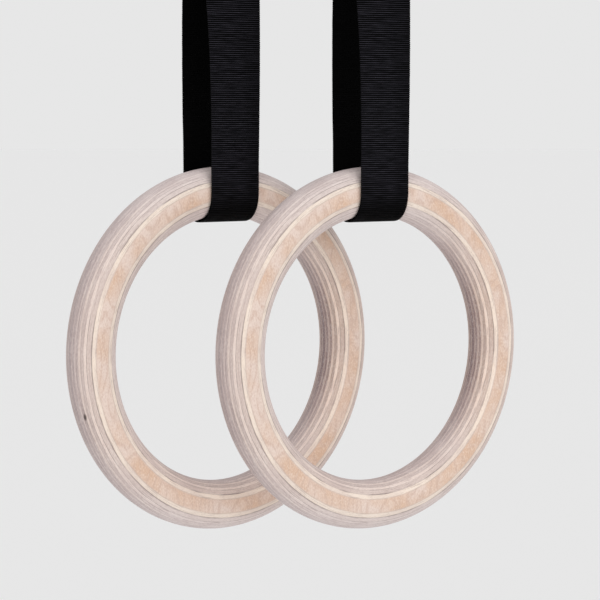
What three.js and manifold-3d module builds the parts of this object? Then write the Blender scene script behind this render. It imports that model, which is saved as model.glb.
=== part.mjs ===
// A pair of wooden gymnastics rings on black webbing straps with cam buckles.
// Millimetres, +Z up, +X along the overhead bar, front towards -Y.
// The origin is on the axis of the bar that the straps hang over, midway between them.
import * as THREE from 'three';
import { mergeVertices } from 'three/addons/utils/BufferGeometryUtils.js';
import Module from 'manifold-3d';

const wasm = await Module();
wasm.setup();

// ---- Driving dimensions ----
const ring = { outerRadius: 117.5, radialThickness: 31.5, axialThickness: 26.5, roundness: 2.2 };
const strap = { width: 38, thickness: 1.5 };
const hangDistance = 300; // from the bar's axis down to the top of a ring
const pairSpacing = 96.5;
const barLoopRadius = 18; // of the webbing's middle, over the bar and down both legs
const ringLoopHalfWidth = 15; // of the webbing's middle, either side of the ring
const clearance = 0.3; // left between pieces that touch
const swivelGap = 9; // keeps the legs clear of the bar loop as they swing round it
const twistCutZ = -157; // where the lower loop turns against the rest of the strap
const fullYawZ = -50; // from here to the cut the strap keeps its buckle's angle
const ringTwist = THREE.MathUtils.degToRad(19); // from the buckle down to the ring
const twistGrowth = 2.2; // above 1, the lower loop turns mostly near the buckle
const sides = [
  { name: 'left', x: -pairSpacing / 2, ringYaw: THREE.MathUtils.degToRad(38.8) },
  { name: 'right', x: pairSpacing / 2, ringYaw: THREE.MathUtils.degToRad(35.3) },
];

const buckle = {
  wall: 1.6,
  halfInside: strap.width / 2 + 0.4,
  bottomZ: -144,
  topZ: -85,
  outerY: 33,
  crossbar: { radius: 2.5, z: -92 },
  pivot: { y: 28.2, z: -120 },
  pinRadius: 2,
  pinHoleRadius: 2.06,
  camHalfWidth: 18,
};
const spring = { radius: 3.1, wire: 0.35, turns: 4, start: 12.7, end: 17.6, pocketRadius: 4.1 };
const throughCut = 60; // length of a cutter that goes right through a buckle piece
const stripOuterY = barLoopRadius + strap.thickness / 2;
buckle.plateY = barLoopRadius - strap.thickness / 2 - clearance - buckle.wall;
buckle.halfOutside = buckle.halfInside + buckle.wall;
buckle.crossbar.y = stripOuterY + clearance + buckle.crossbar.radius;

// ---- Materials ----
const finishes = {
  wood: { color: 0xe3bd93, roughness: 0.7, metalness: 0 },
  webbing: { color: 0x17171a, roughness: 0.85, metalness: 0 },
  thread: { color: 0x242428, roughness: 0.8, metalness: 0 },
  plated: { color: 0xb9bcc0, roughness: 0.35, metalness: 1 },
  springSteel: { color: 0x8f9296, roughness: 0.4, metalness: 1 },
};

function addPart(parent, name, geometry, finish) {
  const mesh = new THREE.Mesh(geometry, new THREE.MeshStandardMaterial(finishes[finish]));
  mesh.name = name;
  parent.add(mesh);
  return mesh;
}

// ---- Solid helpers ----
function toManifold(geometry) {
  const bare = geometry.index ? geometry.toNonIndexed() : geometry.clone();
  for (const key of Object.keys(bare.attributes)) {
    if (key !== 'position') bare.deleteAttribute(key);
  }
  const welded = mergeVertices(bare, 1e-4);
  return new wasm.Manifold(new wasm.Mesh({
    numProp: 3,
    vertProperties: new Float32Array(welded.attributes.position.array),
    triVerts: new Uint32Array(welded.index.array),
  }));
}

function fromManifold(solid) {
  const mesh = solid.getMesh();
  const geometry = new THREE.BufferGeometry();
  geometry.setAttribute('position', new THREE.BufferAttribute(mesh.vertProperties, 3));
  geometry.setIndex(new THREE.BufferAttribute(mesh.triVerts, 1));
  const faceted = geometry.toNonIndexed();
  faceted.computeVertexNormals();
  return faceted;
}

// A rod along X with its middle at (x, y, z).
function rodX(radius, length, x, y, z, segments = 32) {
  return new THREE.CylinderGeometry(radius, radius, length, segments)
    .rotateZ(Math.PI / 2)
    .translate(x, y, z);
}

// A prism along X whose outline is given as [y, z] points.
function prismX(outline, halfWidth) {
  const shape = new THREE.Shape(outline.map(([y, z]) => new THREE.Vector2(y, z)));
  return new THREE.ExtrudeGeometry(shape, { depth: 2 * halfWidth, bevelEnabled: false })
    .rotateY(Math.PI / 2)
    .rotateX(Math.PI / 2)
    .translate(-halfWidth, 0, 0);
}

// ---- Path helpers: points are Vector2(y, z) in the plane across the strap ----
function line(from, to, steps) {
  return Array.from({ length: steps + 1 }, (_, i) => (
    new THREE.Vector2(...from).lerp(new THREE.Vector2(...to), i / steps)));
}

function arc(centre, radius, startDeg, endDeg, steps) {
  return Array.from({ length: steps + 1 }, (_, i) => {
    const angle = THREE.MathUtils.degToRad(startDeg + (endDeg - startDeg) * i / steps);
    return new THREE.Vector2(
      centre[0] + radius * Math.cos(angle), centre[1] + radius * Math.sin(angle));
  });
}

function joinPaths(...paths) {
  const points = [];
  for (const point of paths.flat()) {
    if (!points.length || points.at(-1).distanceTo(point) > 0.01) points.push(point);
  }
  return points;
}

// The unit normal at each point of a path, lengthened at corners to keep the thickness.
function mitres(path) {
  return path.map((point, i) => {
    const before = point.clone().sub(path[i - 1] ?? point).normalize();
    const after = (path[i + 1] ?? point).clone().sub(point).normalize();
    const tangent = before.clone().add(after).normalize();
    const half = Math.max(tangent.dot(after), tangent.dot(before));
    return new THREE.Vector2(tangent.y, -tangent.x).divideScalar(half);
  });
}

// ---- The straps' twist about their own vertical axis ----
function yawAt(z, ringYaw) {
  const buckleYaw = ringYaw - ringTwist;
  const { clamp, inverseLerp, lerp } = THREE.MathUtils;
  if (z > twistCutZ) {
    return buckleYaw * clamp(inverseLerp(-swivelGap, fullYawZ, z), 0, 1);
  }
  const share = clamp(inverseLerp(-hangDistance, twistCutZ, z), 0, 1);
  return lerp(ringYaw, buckleYaw, share ** twistGrowth);
}

function twist(geometry, ringYaw) {
  const position = geometry.attributes.position;
  const upright = new THREE.Vector3(0, 0, 1);
  const vertex = new THREE.Vector3();
  for (let i = 0; i < position.count; i += 1) {
    vertex.fromBufferAttribute(position, i);
    vertex.applyAxisAngle(upright, yawAt(vertex.z, ringYaw));
    position.setXYZ(i, vertex.x, vertex.y, vertex.z);
  }
  geometry.computeVertexNormals();
  return geometry;
}

// A length of webbing whose middle follows a path.
function webbing(path, ringYaw) {
  const steps = path.length - 1;
  const normals = mitres(path);
  const geometry = new THREE.BoxGeometry(strap.width, strap.thickness, 1, 1, 1, steps);
  const position = geometry.attributes.position;
  for (let i = 0; i < position.count; i += 1) {
    const station = Math.round((position.getZ(i) + 0.5) * steps);
    const middle = path[station].clone().addScaledVector(normals[station], position.getY(i));
    position.setXYZ(i, position.getX(i), middle.x, middle.y);
  }
  return twist(geometry, ringYaw);
}

// ---- Wooden ring: a rounded flat-sided section turned about its own axis ----
function ringGeometry() {
  const sectionPoints = 20;
  const turns = 72;
  const middleRadius = ring.outerRadius - ring.radialThickness / 2;
  const squircle = (value) => Math.sign(value) * Math.abs(value) ** (2 / ring.roundness);
  const profile = Array.from({ length: sectionPoints + 1 }, (_, i) => {
    const angle = (i % sectionPoints) / sectionPoints * 2 * Math.PI;
    return new THREE.Vector2(
      middleRadius + ring.radialThickness / 2 * squircle(Math.cos(angle)),
      ring.axialThickness / 2 * squircle(Math.sin(angle)));
  });
  return new THREE.LatheGeometry(profile, turns);
}

// ---- Webbing, in the order it runs from its sewn end ----
function backLegPath() {
  const { y, z, radius } = buckle.crossbar;
  const wrapRadius = radius + clearance + strap.thickness / 2;
  const sewnY = barLoopRadius + strap.thickness + clearance;
  const sewnStartZ = -78;
  const sewnEndZ = -52;
  return joinPaths(
    line([barLoopRadius, -swivelGap], [barLoopRadius, z], 8),
    arc([y, z], wrapRadius, 180, 360, 8),
    line([y + wrapRadius, z], [sewnY, sewnStartZ], 2),
    line([sewnY, sewnStartZ], [sewnY, sewnEndZ], 4),
  );
}

function barLoopPath() {
  const facets = 15; // odd, so that the middle one lies flat on top of the bar
  return arc([0, 0], barLoopRadius, 0, 180, facets);
}

function frontLegPath() {
  return line([-barLoopRadius, -swivelGap], [-barLoopRadius, twistCutZ + clearance], 14);
}

function ringLoopPath() {
  const cutZ = twistCutZ - clearance;
  const gripMiddleZ = -hangDistance - ring.radialThickness / 2;
  const innerRadius = ring.outerRadius - ring.radialThickness;
  // The ring's inside curves down past the middle of the strap by this much at its edges.
  const edgeDrop = innerRadius - Math.sqrt(innerRadius ** 2 - (strap.width / 2) ** 2);
  const depth = ring.radialThickness / 2 + edgeDrop + clearance + 0.1 + strap.thickness / 2;
  const facets = 18;
  const bottom = Array.from({ length: facets + 1 }, (_, i) => {
    const angle = Math.PI * i / facets;
    const side = Math.sign(Math.cos(angle)) * Math.abs(Math.cos(angle)) ** (2 / ring.roundness);
    return new THREE.Vector2(
      -ringLoopHalfWidth * side,
      gripMiddleZ - depth * Math.abs(Math.sin(angle)) ** (2 / ring.roundness));
  });
  return joinPaths(
    line([-barLoopRadius, cutZ], [-ringLoopHalfWidth, -hangDistance], 14),
    bottom,
    line([ringLoopHalfWidth, -hangDistance], [barLoopRadius, cutZ], 14),
  );
}

function tailPath() {
  const exitZ = -109;
  const bendRadius = 7;
  const hangY = 40;
  const endZ = -188;
  return joinPaths(
    line([barLoopRadius, twistCutZ + clearance], [barLoopRadius, exitZ], 3),
    arc([barLoopRadius + bendRadius, exitZ], bendRadius, 180, 90, 6),
    arc([hangY - bendRadius, exitZ], bendRadius, 90, 0, 6),
    line([hangY, exitZ], [hangY, endZ], 4),
  );
}

// ---- Zigzag stitching that closes the sewn end round the buckle's crossbar ----
function stitchGeometry(ringYaw) {
  const thread = { width: 0.9, height: 0.4 };
  const strokes = 12;
  const topZ = -55;
  const pitch = 1.6;
  const halfWidth = strap.width / 2 - 3;
  const outerFace = barLoopRadius + strap.thickness * 1.5 + clearance;
  const strokeLength = Math.hypot(2 * halfWidth, pitch);
  const slope = Math.atan2(pitch, 2 * halfWidth);
  const zigzag = Array.from({ length: strokes }, (_, i) => toManifold(
    new THREE.BoxGeometry(strokeLength, thread.height, thread.width)
      .rotateY(i % 2 ? -slope : slope)
      .translate(0, outerFace + 0.1 + thread.height / 2, topZ - (i + 0.5) * pitch)));
  return twist(fromManifold(zigzag.reduce((sum, stroke) => sum.add(stroke))), ringYaw);
}

// ---- Cam buckle ----
function buckleFrameGeometry() {
  const { wall, halfInside, halfOutside, plateY, outerY, bottomZ, topZ, pivot, crossbar } = buckle;
  const body = toManifold(prismX([
    [plateY, bottomZ], [plateY + 6, bottomZ], [outerY - 2, pivot.z - 9], [outerY, pivot.z - 6],
    [outerY, pivot.z + 6], [outerY - 2, pivot.z + 9], [crossbar.y + 5, topZ + 2],
    [crossbar.y + 2, topZ], [plateY, topZ],
  ], halfOutside));
  const channel = toManifold(new THREE.BoxGeometry(2 * halfInside, 40, 100)
    .translate(0, plateY + wall + 20, (topZ + bottomZ) / 2));
  const bar = toManifold(rodX(crossbar.radius, 2 * halfInside + 1, 0, crossbar.y, crossbar.z));
  const pinHole = toManifold(rodX(buckle.pinHoleRadius, throughCut, 0, pivot.y, pivot.z));
  const hook = springHook();
  const hookHole = toManifold(rodX(0.9, 10, halfOutside, hook.y, hook.z, 16));
  return fromManifold(body.subtract(channel).add(bar).subtract(pinHole).subtract(hookHole));
}

// The cam's outline: a toothed face towards the webbing, eccentric so that load closes it.
function camOutline() {
  const { y, z } = buckle.pivot;
  const gripRadius = y - stripOuterY - 0.35;
  const points = [];
  const polar = (radius, degrees) => {
    const angle = THREE.MathUtils.degToRad(180 - degrees);
    points.push([y + radius * Math.cos(angle), z + radius * Math.sin(angle)]);
  };
  for (let i = 0; i <= 13; i += 1) {
    const degrees = -20 + i * 5;
    const toothDepth = i % 2 ? 0.9 : 0;
    polar(gripRadius + 0.012 * degrees - toothDepth, degrees);
  }
  for (const degrees of [70, 95, 120, 145]) polar(6, degrees);
  return points;
}

function leverOutline() {
  const { y, z } = buckle.pivot;
  return [
    [y + 1, z + 5.9], [y + 5.4, z + 2.6], [y + 6.6, z - 8], [y + 9.1, z - 27], [y + 8.9, z - 30.5],
    [y + 7.4, z - 31], [y + 6.6, z - 27], [y + 3.6, z - 9], [y - 5.6, z - 6.6], [y - 8, z - 3],
  ];
}

function camGeometry() {
  const { pivot, camHalfWidth } = buckle;
  const outline = [...camOutline(), ...leverOutline().slice(1)];
  const pocketLength = 6;
  const block = toManifold(prismX(outline, camHalfWidth));
  const bore = toManifold(rodX(buckle.pinHoleRadius, throughCut, 0, pivot.y, pivot.z));
  const pocketX = camHalfWidth - pocketLength / 2 + 0.01;
  const pocket = toManifold(
    rodX(spring.pocketRadius, pocketLength, pocketX, pivot.y, pivot.z));
  return fromManifold(block.subtract(bore).subtract(pocket));
}

function pinGeometry() {
  const { pinRadius, halfOutside, pivot } = buckle;
  const headRadius = 3.4;
  const headStart = halfOutside + clearance;
  const headEnd = headStart + 1.2;
  const profile = [
    [0, -headEnd], [headRadius - 0.5, -headEnd], [headRadius, -headEnd + 0.5],
    [headRadius, -headStart], [pinRadius, -headStart], [pinRadius, headStart],
    [headRadius, headStart], [headRadius, headEnd - 0.5], [headRadius - 0.5, headEnd],
    [0, headEnd],
  ].map(([radius, along]) => new THREE.Vector2(radius, along));
  return new THREE.LatheGeometry(profile, 32)
    .rotateZ(Math.PI / 2)
    .translate(0, pivot.y, pivot.z);
}

// ---- Torsion spring round the pin, hooked into the buckle's right cheek ----
function springHook() {
  return { y: buckle.pivot.y + spring.radius, z: buckle.pivot.z };
}

class SpringCurve extends THREE.Curve {
  getPoint(t, target = new THREE.Vector3()) {
    const coilShare = 0.94;
    const turned = Math.min(t / coilShare, 1);
    const angle = 2 * Math.PI * spring.turns * turned;
    const hookLength = buckle.halfOutside - 0.2 - spring.end;
    const along = spring.start + (spring.end - spring.start) * turned
      + hookLength * Math.max(0, t - coilShare) / (1 - coilShare);
    return target.set(
      along,
      buckle.pivot.y + spring.radius * Math.cos(angle),
      buckle.pivot.z + spring.radius * Math.sin(angle));
  }
}

function springGeometry() {
  const section = new THREE.Shape(new THREE.EllipseCurve(0, 0, spring.wire, spring.wire)
    .getPoints(6).slice(0, 6));
  return new THREE.ExtrudeGeometry(section, {
    steps: 80, bevelEnabled: false, extrudePath: new SpringCurve(),
  });
}

// ---- Assembly ----
function ringSet({ name, x, ringYaw }) {
  const set = new THREE.Group();
  set.position.x = x;
  addPart(set, `${name}_bar_loop`, webbing(barLoopPath(), ringYaw), 'webbing');
  addPart(set, `${name}_front_leg`, webbing(frontLegPath(), ringYaw), 'webbing');
  addPart(set, `${name}_sewn_leg`, webbing(backLegPath(), ringYaw), 'webbing');
  addPart(set, `${name}_stitching`, stitchGeometry(ringYaw), 'thread');
  addPart(set, `${name}_free_tail`, webbing(tailPath(), ringYaw), 'webbing');
  addPart(set, `${name}_ring_loop`, webbing(ringLoopPath(), ringYaw), 'webbing');

  const buckleGroup = new THREE.Group();
  buckleGroup.rotation.z = ringYaw - ringTwist;
  set.add(buckleGroup);
  addPart(buckleGroup, `${name}_buckle_frame`, buckleFrameGeometry(), 'plated');
  addPart(buckleGroup, `${name}_buckle_cam`, camGeometry(), 'plated');
  addPart(buckleGroup, `${name}_buckle_pin`, pinGeometry(), 'plated');
  addPart(buckleGroup, `${name}_buckle_spring`, springGeometry(), 'springSteel');

  const wood = addPart(set, `${name}_ring`, ringGeometry(), 'wood');
  wood.position.z = -hangDistance - ring.outerRadius;
  wood.rotation.z = ringYaw;
  return set;
}

const group = new THREE.Group();
group.name = 'gymnastics_rings';
for (const side of sides) group.add(ringSet(side));

export default group;
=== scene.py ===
"""Looks for a pair of wooden gymnastics rings on ribbed black webbing. Metres, +Z up."""

import math

import bpy
import numpy as np
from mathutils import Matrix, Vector


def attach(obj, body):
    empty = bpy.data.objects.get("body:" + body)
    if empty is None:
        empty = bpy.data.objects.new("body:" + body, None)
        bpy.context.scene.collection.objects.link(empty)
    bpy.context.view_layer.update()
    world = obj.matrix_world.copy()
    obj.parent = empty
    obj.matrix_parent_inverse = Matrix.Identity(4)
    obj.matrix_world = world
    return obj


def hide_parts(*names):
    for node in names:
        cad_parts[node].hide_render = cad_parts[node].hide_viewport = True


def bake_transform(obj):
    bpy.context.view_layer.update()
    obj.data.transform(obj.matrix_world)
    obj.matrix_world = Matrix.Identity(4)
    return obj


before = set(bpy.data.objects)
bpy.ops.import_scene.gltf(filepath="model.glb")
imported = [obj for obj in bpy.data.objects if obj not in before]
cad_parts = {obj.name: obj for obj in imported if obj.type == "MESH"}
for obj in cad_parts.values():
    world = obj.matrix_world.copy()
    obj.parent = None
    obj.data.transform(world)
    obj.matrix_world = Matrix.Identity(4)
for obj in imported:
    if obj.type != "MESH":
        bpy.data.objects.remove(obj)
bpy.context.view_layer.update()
MM = 0.001

# ---- The part's driving dimensions, in millimetres as in part.mjs ----
OUTER_RADIUS = 117.5
RADIAL_HALF = 31.5 / 2
AXIAL_HALF = 26.5 / 2
ROUNDNESS = 2.2
GRIP_RADIUS = OUTER_RADIUS - RADIAL_HALF
HANG = 300.0
STRAP_WIDTH = 38.0
STRAP_THICKNESS = 1.5
BAR_LOOP_RADIUS = 18.0
RING_LOOP_HALF_WIDTH = 15.0
SWIVEL_GAP = 9.0
FULL_YAW_Z = -50.0
TWIST_CUT_Z = -157.0
SEAM_Z = -146.0  # where the upper and lower lengths of webbing meet, inside the buckle
RING_TWIST = math.radians(19)
TWIST_GROWTH = 2.2
CROSSBAR = (21.55, -92.0)
CROSSBAR_WRAP = 3.55
SEWN_END = (-78.0, -52.0)  # the heights between which the sewn end lies flat on the leg
SEWN_GAP = 0.3
RING_GAP = 0.4
TAIL_BEND_RADIUS = 7.0
TAIL_BEND_Z = -109.0
TAIL_END = (40.0, -188.0)
SIDES = {
    "left": {"x": -48.25, "yaw": math.radians(38.8)},
    "right": {"x": 48.25, "yaw": math.radians(35.3)},
}


# ---- Camera: the photograph's viewing angle ----
def add_camera():
    distance = 1.558
    elevation = math.radians(4.26)
    aim = np.array([0.0026, 0.0, -0.3863])
    data = bpy.data.cameras.new("camera")
    data.sensor_width = 36
    data.lens = 144.3
    camera = bpy.data.objects.new("camera", data)
    camera.location = aim + distance * np.array([0, -math.cos(elevation), math.sin(elevation)])
    camera.rotation_euler = (math.pi / 2 - elevation, 0, 0)
    bpy.context.scene.collection.objects.link(camera)
    bpy.context.scene.camera = camera
    bpy.context.scene.view_settings.view_transform = "Standard"


# ---- Node helpers ----
def srgb(red, green, blue):
    """A colour given as 0-255 display values, as linear RGBA."""
    channels = [value / 255 for value in (red, green, blue)]
    linear = [c / 12.92 if c < 0.04045 else ((c + 0.055) / 1.055) ** 2.4 for c in channels]
    return (*linear, 1.0)


class Nodes:
    """Builds a material's node tree; each method returns the new node's output."""

    def __init__(self, name):
        self.material = bpy.data.materials.new(name)
        self.material.use_nodes = True
        self.tree = self.material.node_tree
        self.shader = self.tree.nodes["Principled BSDF"]

    def add(self, kind, inputs, output=0, **settings):
        node = self.tree.nodes.new(kind)
        for key, value in settings.items():
            setattr(node, key, value)
        for key, value in inputs.items():
            if isinstance(value, bpy.types.NodeSocket):
                self.tree.links.new(value, node.inputs[key])
            else:
                node.inputs[key].default_value = value
        return node.outputs[output]

    def math(self, operation, first, second=0.0):
        return self.add("ShaderNodeMath", {0: first, 1: second}, operation=operation)

    def attribute(self, name):
        return self.add("ShaderNodeAttribute", {}, output="Vector", attribute_name=name)

    def split(self, vector):
        node = self.tree.nodes.new("ShaderNodeSeparateXYZ")
        self.tree.links.new(vector, node.inputs[0])
        return node.outputs

    def join(self, x, y, z):
        return self.add("ShaderNodeCombineXYZ", {0: x, 1: y, 2: z})

    def noise(self, vector, scale, detail=2.0, w=None):
        inputs = {"Vector": vector, "Scale": scale, "Detail": detail}
        if w is None:
            return self.add("ShaderNodeTexNoise", inputs)
        inputs["W"] = w
        return self.add("ShaderNodeTexNoise", inputs, noise_dimensions="4D")

    def ramp(self, factor, stops, interpolation="LINEAR"):
        node = self.tree.nodes.new("ShaderNodeValToRGB")
        node.color_ramp.interpolation = interpolation
        elements = node.color_ramp.elements
        while len(elements) < len(stops):
            elements.new(1.0)
        for element, (position, color) in zip(elements, stops):
            element.position = position
            element.color = color
        self.tree.links.new(factor, node.inputs[0])
        return node.outputs["Color"]

    def span(self, value, low, high, to_low=0.0, to_high=1.0):
        """The value's place between low and high, as a number between to_low and to_high."""
        inputs = {0: value, 1: low, 2: high, 3: to_low, 4: to_high}
        return self.add("ShaderNodeMapRange", inputs)

    def mix(self, factor, first, second):
        inputs = {0: factor, 6: first, 7: second}
        return self.add("ShaderNodeMix", inputs, output=2, data_type="RGBA")

    def bump(self, height, strength, distance):
        inputs = {"Height": height, "Strength": strength, "Distance": distance}
        return self.add("ShaderNodeBump", inputs)

    def finish(self, color, roughness, normal, metallic=0.0):
        for key, value in {"Base Color": color, "Roughness": roughness, "Normal": normal}.items():
            self.tree.links.new(value, self.shader.inputs[key])
        self.shader.inputs["Metallic"].default_value = metallic
        return self.material


# ---- Plywood: flat plies across the ring's axis, cut through by its round section ----
FACE_PLY = 0.47  # what sanding leaves of the outer veneer
PLY_WOBBLE = 0.035
GROWTH_LINES = 10
KNOT = (-110.4, -6.0, -36.3)  # in its ring's own coordinates
PLY_EDGES = [FACE_PLY, 1.28, 2.75, 4.0, 5.35, 6.7, 8.05, 9.4, 10.75, 12.1]
# The plies' colours, each list from a face to the middle of the ring. The side list also darkens
# towards the middle as painted shade, where the section turns away from the light.
SHADED_SIDE_PLIES = [
    (222, 199, 184), (250, 230, 212), (203, 177, 161), (240, 215, 198), (178, 153, 139),
    (218, 193, 178), (152, 128, 121), (190, 166, 157), (132, 108, 107), (170, 146, 140),
    (118, 95, 98),
]
CROWN_PLIES = [
    (226, 203, 186), (241, 225, 210), (220, 205, 200), (226, 212, 208), (220, 205, 202),
    (225, 211, 207), (217, 202, 200), (222, 208, 206), (215, 200, 199), (219, 205, 203),
    (214, 199, 198),
]


def ply_stops(colors):
    starts = [0.0] + [edge / AXIAL_HALF for edge in PLY_EDGES]
    return [(start, srgb(*color)) for start, color in zip(starts, colors)]


def glue_stops():
    """Thin peaks at the glue lines, the outer ones the darkest."""
    stops = [(0.0, (0, 0, 0, 1))]
    for index, edge in enumerate(PLY_EDGES):
        peak = 0.2 if index == 0 else max(1.1 - 0.1 * index, 0.4)
        width = 0.18 if index == 1 else 0.14
        for offset, level in ((-width, 0), (0, peak), (width, 0)):
            stops.append(((edge + offset) / AXIAL_HALF, (level, level, level, 1)))
    return stops


class RingGrain:
    """A point's place in its own ring as node outputs, in millimetres, and noise that follows it."""

    def __init__(self, n):
        self.n = n
        self.place = n.attribute("grain")
        self.x, self.axial, self.z = n.split(self.place)
        squares = n.math("ADD", n.math("MULTIPLY", self.x, self.x), n.math("MULTIPLY", self.z, self.z))
        self.radius = n.math("SQRT", squares)
        self.cosine = n.math("DIVIDE", self.x, self.radius)
        self.sine = n.math("DIVIDE", self.z, self.radius)

    def streaks(self, across, along, detail=2.0):
        """Noise drawn out round the ring, with no seam."""
        n = self.n
        vector = n.join(
            n.math("MULTIPLY", self.radius, across),
            n.math("MULTIPLY", self.axial, across),
            n.math("MULTIPLY", self.sine, along),
        )
        return n.noise(vector, 1.0, detail, w=n.math("MULTIPLY", self.cosine, along))

    def depth(self):
        """The distance below the nearer face, slightly wavy as sanded plies are."""
        n = self.n
        wobble = n.span(self.streaks(0.5, 14.0, 3.0), 0.3, 0.7, -PLY_WOBBLE, PLY_WOBBLE)
        return n.math("ADD", n.math("SUBTRACT", AXIAL_HALF, n.math("ABSOLUTE", self.axial)), wobble)


def ply_color(n, ring, share):
    """The plies' cut edges: strong at the ring's sides, most so inside, and pale elsewhere. The strong
    side colours are partly painted shade: darker where the section turns sideways, darkest inside the
    ring's +x side, which faces away from the light.
    """
    # The side ramp's colours include painted shade, darkening towards the section's middle.
    side = n.ramp(share, ply_stops(SHADED_SIDE_PLIES), "CONSTANT")
    crown = n.ramp(share, ply_stops(CROWN_PLIES), "CONSTANT")
    outward = n.span(ring.radius, GRIP_RADIUS - 4, GRIP_RADIUS + 4, -1.0, 1.0)
    sideways = n.span(n.math("ABSOLUTE", ring.cosine), 0.4, 0.95)
    # Painted shade: on the ring's inner rim the side colours grow strongest towards its +x side, which
    # faces away from the light.
    inside_painted_shade = n.span(ring.cosine, -1.0, 1.0, 0.1, 1.0)
    strength = n.math("MULTIPLY", sideways, n.span(outward, -1.0, 1.0, inside_painted_shade, 0.5))
    low = n.span(ring.sine, -0.2, -0.8, 0.0, 0.4)
    inner_bottom = n.math("MULTIPLY", n.span(outward, 0.2, -1.0), low)
    return n.mix(n.math("MAXIMUM", strength, inner_bottom), crown, side)


def streak_color(n, ring, fine, color):
    """Long thin pores, then fine streaks over them, then broad patches, on the cut edges."""
    long_pores = ring.streaks(2.0, 9.0, 2.0)
    color = n.mix(n.span(long_pores, 0.55, 0.68, 0.0, 0.5), color, srgb(158, 138, 136))
    color = n.mix(n.span(long_pores, 0.45, 0.32, 0.0, 0.35), color, srgb(244, 233, 226))
    color = n.mix(n.span(fine, 0.48, 0.68, 0.0, 0.45), color, srgb(240, 227, 220))
    color = n.mix(n.span(fine, 0.48, 0.3, 0.0, 0.4), color, srgb(172, 150, 145))
    patches = n.noise(ring.place, 0.045, 3.0)
    return n.mix(n.span(patches, 0.45, 0.75, 0.0, 0.4), color, srgb(196, 176, 172))


def veneer_color(n, ring):
    """The outer veneer: one sheet with arched growth lines, an orange bloom and flecks."""
    bloom = n.math("ADD", n.noise(ring.place, 0.045, 4.0), n.math("MULTIPLY", ring.cosine, 0.05))
    color = n.mix(n.span(bloom, 0.38, 0.66), srgb(229, 208, 196), srgb(219, 184, 158))
    sheet = n.join(n.math("MULTIPLY", ring.x, 0.05), 0.0, n.math("MULTIPLY", ring.z, 0.018))
    growth = n.math("MULTIPLY", n.noise(sheet, 1.0, 1.5), 2 * math.pi * GROWTH_LINES)
    arches = n.math("SINE", growth)
    color = n.mix(n.span(arches, 0.3, 1.0, 0.0, 0.45), color, srgb(204, 172, 154))
    speckle = n.join(n.math("MULTIPLY", ring.x, 1.4), ring.axial, n.math("MULTIPLY", ring.z, 0.7))
    flecks = n.noise(speckle, 1.0, 5.0)
    color = n.mix(n.span(flecks, 0.5, 0.66, 0.0, 0.5), color, srgb(241, 224, 212))
    return n.mix(n.span(flecks, 0.47, 0.34, 0.0, 0.4), color, srgb(200, 168, 150))


def knot_color(n, ring, color):
    """A small dark oval knot, longer along the ring than across."""
    from_knot = n.add("ShaderNodeVectorMath", {0: ring.place, 1: KNOT}, operation="SUBTRACT")
    squeeze = (1.0, 1.0, 0.4)
    oval = n.add("ShaderNodeVectorMath", {0: from_knot, 1: squeeze}, operation="MULTIPLY")
    away = n.add("ShaderNodeVectorMath", {0: oval}, output=1, operation="LENGTH")
    spot = n.span(away, 1.4, 0.6)
    return n.mix(n.math("MULTIPLY", spot, 0.85), color, srgb(58, 42, 36))


def plywood(name, has_knot):
    n = Nodes(name)
    ring = RingGrain(n)
    depth = ring.depth()
    share = n.math("DIVIDE", depth, AXIAL_HALF)
    fine = ring.streaks(3.2, 60.0, 4.0)
    color = streak_color(n, ring, fine, ply_color(n, ring, share))
    on_face = n.span(depth, FACE_PLY + 0.04, FACE_PLY - 0.2)
    color = n.mix(on_face, color, veneer_color(n, ring))

    # Glue lines, broken up along their length.
    patchy = n.span(ring.streaks(0.08, 5.0, 3.0), 0.42, 0.56, 0.25, 1.0)
    glue = n.math("MULTIPLY", n.ramp(share, glue_stops()), patchy)
    color = n.mix(n.math("MULTIPLY", glue, 0.85), color, srgb(100, 80, 76))
    if has_knot:
        color = knot_color(n, ring, color)

    pores = n.noise(ring.place, 1.3, 4.0)
    height = n.math("ADD", n.math("MULTIPLY", fine, 0.7), n.math("MULTIPLY", pores, 0.4))
    height = n.math("SUBTRACT", height, glue)
    roughness = n.span(pores, 0.3, 0.7, 0.5, 0.68)
    return n.finish(color, roughness, n.bump(height, 0.25, 0.0002))


# ---- Webbing: black nylon, warp threads crossing each rib ----
RIB_PITCH = 1.33
THREAD_PITCH = 0.95
RIB_HEIGHT = 0.17
RIB_SINK = 0.10  # keeps the crests near the strap's nominal thickness
BLACK = (0.0, 0.0, 0.0, 1.0)


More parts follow.
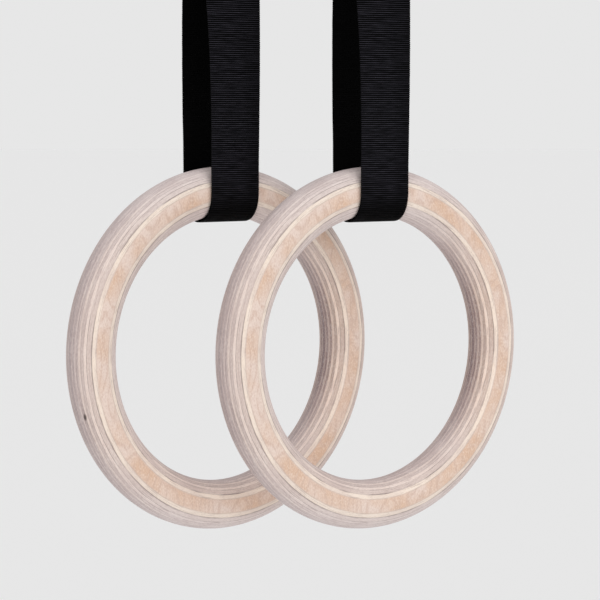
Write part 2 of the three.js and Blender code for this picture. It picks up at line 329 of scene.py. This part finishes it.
def nylon(name):
    n = Nodes(name)
    across, along, inward = n.split(n.attribute("strip"))
    above_bearing = n.split(n.attribute("bearing"))[2]
    rib = n.math("FLOOR", n.math("DIVIDE", along, RIB_PITCH))
    shift = n.math("MULTIPLY", n.math("MODULO", rib, 2.0), 0.5)
    thread = n.math("FRACT", n.math("ADD", n.math("DIVIDE", across, THREAD_PITCH), shift))
    bulge = n.math("SINE", n.math("MULTIPLY", thread, math.pi))
    ribwise = n.join(n.math("MULTIPLY", across, 0.1), n.math("MULTIPLY", along, 1.1), 0.0)
    uneven = n.noise(ribwise, 1.0, 2.0)
    color = n.mix(n.span(uneven, 0.3, 0.7), srgb(31, 30, 35), srgb(66, 64, 73))
    # Painted shade in the gaps between the warp threads.
    color = n.mix(n.span(bulge, 0.0, 0.5, 0.55, 0.0), color, srgb(4, 4, 6))
    # Painted shade: the rib valleys go black, leaving the crests lit.
    crest = n.math("COSINE", n.math("MULTIPLY", along, 2 * math.pi / RIB_PITCH))
    color = n.mix(n.span(crest, 0.2, 1.0, 1.0, 0.0), color, BLACK)

    # Painted shade, darkening to black: towards one edge, from the ring's centre height downwards
    # where the strap curves under it, and on its inside, facing into the loop.
    shade_towards_edge = n.span(across, 2.0, 19.0, 0.0, 0.45)
    shade_under_ring = n.span(above_bearing, 3.0, -12.0, 0.0, 0.85)
    # Painted shade on the webbing's inside, facing into the loop.
    inside = n.span(inward, -0.2, 0.2, 0.0, 0.97)
    for painted_shade in (shade_towards_edge, shade_under_ring, inside):
        color = n.mix(painted_shade, color, BLACK)
    height = n.math("ADD", bulge, n.math("MULTIPLY", uneven, 0.5))
    roughness = n.span(uneven, 0.3, 0.7, 0.62, 0.42)
    material = n.finish(color, roughness, n.bump(height, 0.7, 0.0002))
    n.shader.inputs["Specular IOR Level"].default_value = 0.03
    return material


def sewing_thread(name):
    n = Nodes(name)
    place = n.add("ShaderNodeTexCoord", {}, output="Object")
    strands = n.noise(place, 1800.0, 3.0)
    color = n.mix(n.span(strands, 0.35, 0.65), srgb(18, 18, 22), srgb(58, 58, 66))
    roughness = n.span(strands, 0.3, 0.7, 0.4, 0.65)
    return n.finish(color, roughness, n.bump(strands, 0.5, 0.0002))


def plated_steel(name, tint, low_roughness, high_roughness):
    n = Nodes(name)
    place = n.add("ShaderNodeTexCoord", {}, output="Object")
    cloud = n.noise(place, 240.0, 5.0)
    stretch = n.add("ShaderNodeVectorMath", {0: place, 1: (1, 1, 14)}, operation="MULTIPLY")
    scratches = n.noise(stretch, 220.0, 5.0)
    dark = tuple(channel * 0.9 for channel in tint)
    color = n.mix(n.span(cloud, 0.3, 0.7), srgb(*tint), srgb(*dark))
    wear = n.math("ADD", n.math("MULTIPLY", cloud, 0.6), n.math("MULTIPLY", scratches, 0.4))
    roughness = n.span(wear, 0.35, 0.65, low_roughness, high_roughness)
    return n.finish(color, roughness, n.bump(scratches, 0.12, 0.0001), metallic=1.0)


def studio_floor(name):
    n = Nodes(name)
    n.shader.inputs["Base Color"].default_value = srgb(251, 251, 251)
    n.shader.inputs["Roughness"].default_value = 0.9
    return n.material


# ---- Mesh helpers ----
def add_mesh(name, vertices, faces, material, attributes=()):
    mesh = bpy.data.meshes.new(name)
    mesh.from_pydata((np.asarray(vertices) * MM).tolist(), [], faces)
    mesh.update()
    mesh.shade_smooth()
    mesh.materials.append(material)
    for key, values in attributes:
        layer = mesh.attributes.new(key, "FLOAT_VECTOR", "POINT")
        layer.data.foreach_set("vector", np.asarray(values, np.float32).ravel())
    item = bpy.data.objects.new(name, mesh)
    bpy.context.scene.collection.objects.link(item)
    return item


def turn(points, yaw):
    """The points turned about the vertical."""
    cos, sin = np.cos(yaw), np.sin(yaw)
    x, y, z = points.T
    return np.stack([x * cos - y * sin, x * sin + y * cos, z], axis=-1)


def squircle(values):
    """Cosines or sines of even steps round a circle, swollen towards a rounded square."""
    return np.sign(values) * np.abs(values) ** (2 / ROUNDNESS)


def grid_faces(rows, columns, closed_rows):
    """Quads over a grid of points whose columns close on themselves."""
    last = rows if closed_rows else rows - 1
    faces = []
    for row in range(last):
        below = ((row + 1) % rows) * columns
        for column in range(columns):
            beside = (column + 1) % columns
            start = row * columns
            faces.append((start + column, start + beside, below + beside, below + column))
    return faces


# ---- Rings ----
def section_angles():
    """Even steps round the section, with three more at each glue line."""
    angles = set(np.linspace(0, 2 * math.pi, 72, endpoint=False))
    for edge in PLY_EDGES:
        for offset in (-0.16, 0.0, 0.16):
            share = (AXIAL_HALF - edge + offset) / AXIAL_HALF
            angle = math.asin(share ** (ROUNDNESS / 2))
            angles.update((angle, math.pi - angle, math.pi + angle, 2 * math.pi - angle))
    return np.array(sorted(angles))


def add_ring(side, x, yaw, material):
    angles = section_angles()
    radial = RADIAL_HALF * squircle(np.cos(angles))
    axial = AXIAL_HALF * squircle(np.sin(angles))
    depth = AXIAL_HALF - np.abs(axial)
    groove = sum(0.07 * np.exp(-(((depth - edge) / 0.1) ** 2)) for edge in PLY_EDGES)
    scale = 1 - groove / RADIAL_HALF
    turns = np.linspace(0, 2 * math.pi, 400, endpoint=False)
    radius = GRIP_RADIUS + radial * scale
    local = np.stack(
        [
            np.outer(np.cos(turns), radius),
            np.tile(axial * scale, (len(turns), 1)),
            np.outer(np.sin(turns), radius),
        ],
        axis=-1,
    ).reshape(-1, 3)
    world = turn(local, np.full(len(local), yaw)) + [x, 0, -HANG - OUTER_RADIUS]
    faces = grid_faces(len(turns), len(angles), closed_rows=True)
    ring = add_mesh(f"{side}_wooden_ring", world, faces, material, [("grain", local)])
    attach(ring, f"{side}_ring")
    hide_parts(f"{side}_ring")


# ---- Webbing ----
def yaw_at(z, ring_yaw):
    """The strap's turn at a height: none over the bar, the buckle's, then the ring's."""
    buckle_yaw = ring_yaw - RING_TWIST
    above = buckle_yaw * np.interp(z, [FULL_YAW_Z, -SWIVEL_GAP], [1.0, 0.0])
    share = np.interp(z, [-HANG, TWIST_CUT_Z], [0.0, 1.0])
    return np.where(z > TWIST_CUT_Z, above, ring_yaw - RING_TWIST * share**TWIST_GROWTH)


def arc(centre, radius, start, end):
    steps = np.radians(np.linspace(start, end, 40))
    return [(centre[0] + radius * math.cos(t), centre[1] + radius * math.sin(t)) for t in steps]


def upper_path():
    """Up the front leg, over the bar, down to the buckle's crossbar and back up, sewn."""
    sewn_y = BAR_LOOP_RADIUS + STRAP_THICKNESS + SEWN_GAP
    return [
        (-BAR_LOOP_RADIUS, SEAM_Z),
        *arc((0, 0), BAR_LOOP_RADIUS, 180, 0),
        *arc(CROSSBAR, CROSSBAR_WRAP, 180, 360),
        (sewn_y, SEWN_END[0]),
        (sewn_y, SEWN_END[1]),
    ]


def lower_path():
    """Down the front, under the ring, up the back, through the buckle and out as the tail."""
    inner_radius = OUTER_RADIUS - 2 * RADIAL_HALF
    edge_drop = inner_radius - math.sqrt(inner_radius**2 - (STRAP_WIDTH / 2) ** 2)
    depth = RADIAL_HALF + edge_drop + RING_GAP + STRAP_THICKNESS / 2
    sweep = np.linspace(0, math.pi, 60)
    bottom = zip(
        -RING_LOOP_HALF_WIDTH * squircle(np.cos(sweep)),
        -HANG - RADIAL_HALF - depth * squircle(np.sin(sweep)),
    )
    return [
        (-BAR_LOOP_RADIUS, SEAM_Z),
        (-BAR_LOOP_RADIUS, TWIST_CUT_Z),
        (-RING_LOOP_HALF_WIDTH, -HANG),
        *bottom,
        (RING_LOOP_HALF_WIDTH, -HANG),
        (BAR_LOOP_RADIUS, TWIST_CUT_Z),
        *arc((BAR_LOOP_RADIUS + TAIL_BEND_RADIUS, TAIL_BEND_Z), TAIL_BEND_RADIUS, 180, 90),
        *arc((TAIL_END[0] - TAIL_BEND_RADIUS, TAIL_BEND_Z), TAIL_BEND_RADIUS, 90, 0),
        TAIL_END,
    ]


def resample(path, step):
    points = np.array(path, float)
    lengths = np.hypot(*np.diff(points, axis=0).T)
    points = points[np.concatenate([[True], lengths > 1e-6])]
    travelled = np.concatenate([[0], np.cumsum(np.hypot(*np.diff(points, axis=0).T))])
    along = np.arange(0, travelled[-1], step)
    return along, np.stack([np.interp(along, travelled, points[:, i]) for i in (0, 1)], axis=-1)


def webbing_section():
    """Points round a strip's section: across, the share of half its thickness, and edge share."""
    half = STRAP_WIDTH / 2
    edge = [(half - 0.9, 1.0), (half - 0.35, 0.92), (half - 0.08, 0.6), (half, 0.0)]
    flat = [(x, 1.0) for x in np.linspace(-half + 1.8, half - 1.8, 15)]
    top = [(-x, y) for x, y in reversed(edge)] + flat + edge
    under = [(x, -y) for x, y in reversed(top[1:-1])]
    return np.array(top + under)


def edge_waves(phase):
    """How far a strip's edges stand out along it: a tooth at each rib and a slow wander."""
    rng = np.random.default_rng(len(phase))
    window = 61
    wander = rng.normal(0, 1, len(phase) + window - 1)
    wander = np.convolve(wander, np.ones(window) / window, "valid")
    return 0.1 * np.cos(phase) + 0.35 * wander


def add_webbing(name, path, inside, x, ring_yaw, material):
    """A length of webbing; inside is 1 where its normal points into the loop, otherwise -1."""
    along, middle = resample(path, RIB_PITCH / 4)
    tangent = np.gradient(middle, axis=0)
    tangent /= np.linalg.norm(tangent, axis=1, keepdims=True)
    normal = np.stack([tangent[:, 1], -tangent[:, 0]], axis=-1)
    section = webbing_section()
    phase = 2 * math.pi * along / RIB_PITCH
    rib = RIB_HEIGHT * np.cos(phase) - RIB_SINK
    at_edge = np.clip((np.abs(section[:, 0]) - STRAP_WIDTH / 2 + 2) / 2, 0, 1)
    across = section[:, 0] + np.outer(edge_waves(phase), at_edge * np.sign(section[:, 0]))
    lift = np.outer(STRAP_THICKNESS / 2 + rib, section[:, 1])
    points = np.stack(
        [
            across,
            middle[:, :1] + normal[:, :1] * lift,
            middle[:, 1:] + normal[:, 1:] * lift,
        ],
        axis=-1,
    ).reshape(-1, 3)
    world = turn(points, yaw_at(points[:, 2], ring_yaw)) + [x, 0, 0]
    strip = np.stack(
        [across, np.repeat(along[:, None], len(section), 1), inside * lift], axis=-1
    ).reshape(-1, 3)
    faces = grid_faces(len(along), len(section), closed_rows=False)
    last = (len(along) - 1) * len(section)
    faces.append(tuple(range(len(section)))[::-1])
    faces.append(tuple(last + i for i in range(len(section))))
    bearing = points - [0, 0, -HANG - RADIAL_HALF]
    strap = add_mesh(name, world, faces, material, [("strip", strip), ("bearing", bearing)])
    return strap


def add_straps(side, x, yaw, material):
    upper = add_webbing(f"{side}_upper_webbing", upper_path(), 1, x, yaw, material)
    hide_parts(f"{side}_bar_loop", f"{side}_front_leg", f"{side}_sewn_leg")
    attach(upper, f"{side}_strap")
    lower = add_webbing(f"{side}_lower_webbing", lower_path(), -1, x, yaw, material)
    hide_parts(f"{side}_ring_loop", f"{side}_free_tail")
    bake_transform(lower)


# ---- Metal and thread: the CAD nodes with rounded edges ----
def dress(node, material, bevel):
    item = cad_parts[node]
    item.data.materials.clear()
    item.data.materials.append(material)
    if bevel:
        rounding = item.modifiers.new("rounding", "BEVEL")
        rounding.width = bevel
        rounding.segments = 3
        rounding.limit_method = "ANGLE"
        rounding.angle_limit = math.radians(35)
        rounding.harden_normals = True


# ---- Studio ----
def add_sun(name, towards, strength, softness):
    """A broad soft light that shines along a direction."""
    data = bpy.data.lights.new(name, "SUN")
    data.energy = strength
    data.angle = math.radians(softness)
    light = bpy.data.objects.new(name, data)
    light.rotation_euler = Vector(towards).to_track_quat("-Z", "Y").to_euler()
    bpy.context.scene.collection.objects.link(light)


def add_floor():
    half = 60_000
    height = -1000
    signs = [(-1, -1), (1, -1), (1, 1), (-1, 1)]
    corners = [(x * half, y * half, height) for x, y in signs]
    add_mesh("floor", corners, [(0, 1, 2, 3)], studio_floor("studio_floor"))


def add_world():
    """An even pale room, which lights the object less than it shows behind it."""
    world = bpy.data.worlds.new("studio")
    world.use_nodes = True
    tree = world.node_tree
    seen = tree.nodes.new("ShaderNodeLightPath").outputs["Is Camera Ray"]
    strength = tree.nodes.new("ShaderNodeMapRange")
    strength.inputs["To Min"].default_value = 0.60
    strength.inputs["To Max"].default_value = 0.798
    tree.links.new(seen, strength.inputs["Value"])
    background = tree.nodes["Background"]
    background.inputs["Color"].default_value = (1, 1, 1, 1)
    tree.links.new(strength.outputs[0], background.inputs["Strength"])
    bpy.context.scene.world = world


# ---- Assembly ----
add_camera()
add_floor()
add_world()
add_sun("key", (-0.3, 0.8, -0.6), 1.28, 80)
black_nylon = nylon("black_nylon")
black_thread = sewing_thread("black_thread")
zinc = plated_steel("zinc_plate", (196, 199, 204), 0.28, 0.45)
wire = plated_steel("spring_wire", (160, 163, 168), 0.3, 0.5)
for side, place in SIDES.items():
    wood = plywood(f"{side}_birch_plywood", has_knot=side == "left")
    add_ring(side, place["x"], place["yaw"], wood)
    add_straps(side, place["x"], place["yaw"], black_nylon)
    dress(f"{side}_stitching", black_thread, 0)
    dress(f"{side}_buckle_frame", zinc, 0.0004)
    dress(f"{side}_buckle_cam", zinc, 0.0003)
    dress(f"{side}_buckle_pin", zinc, 0)
    dress(f"{side}_buckle_spring", wire, 0)
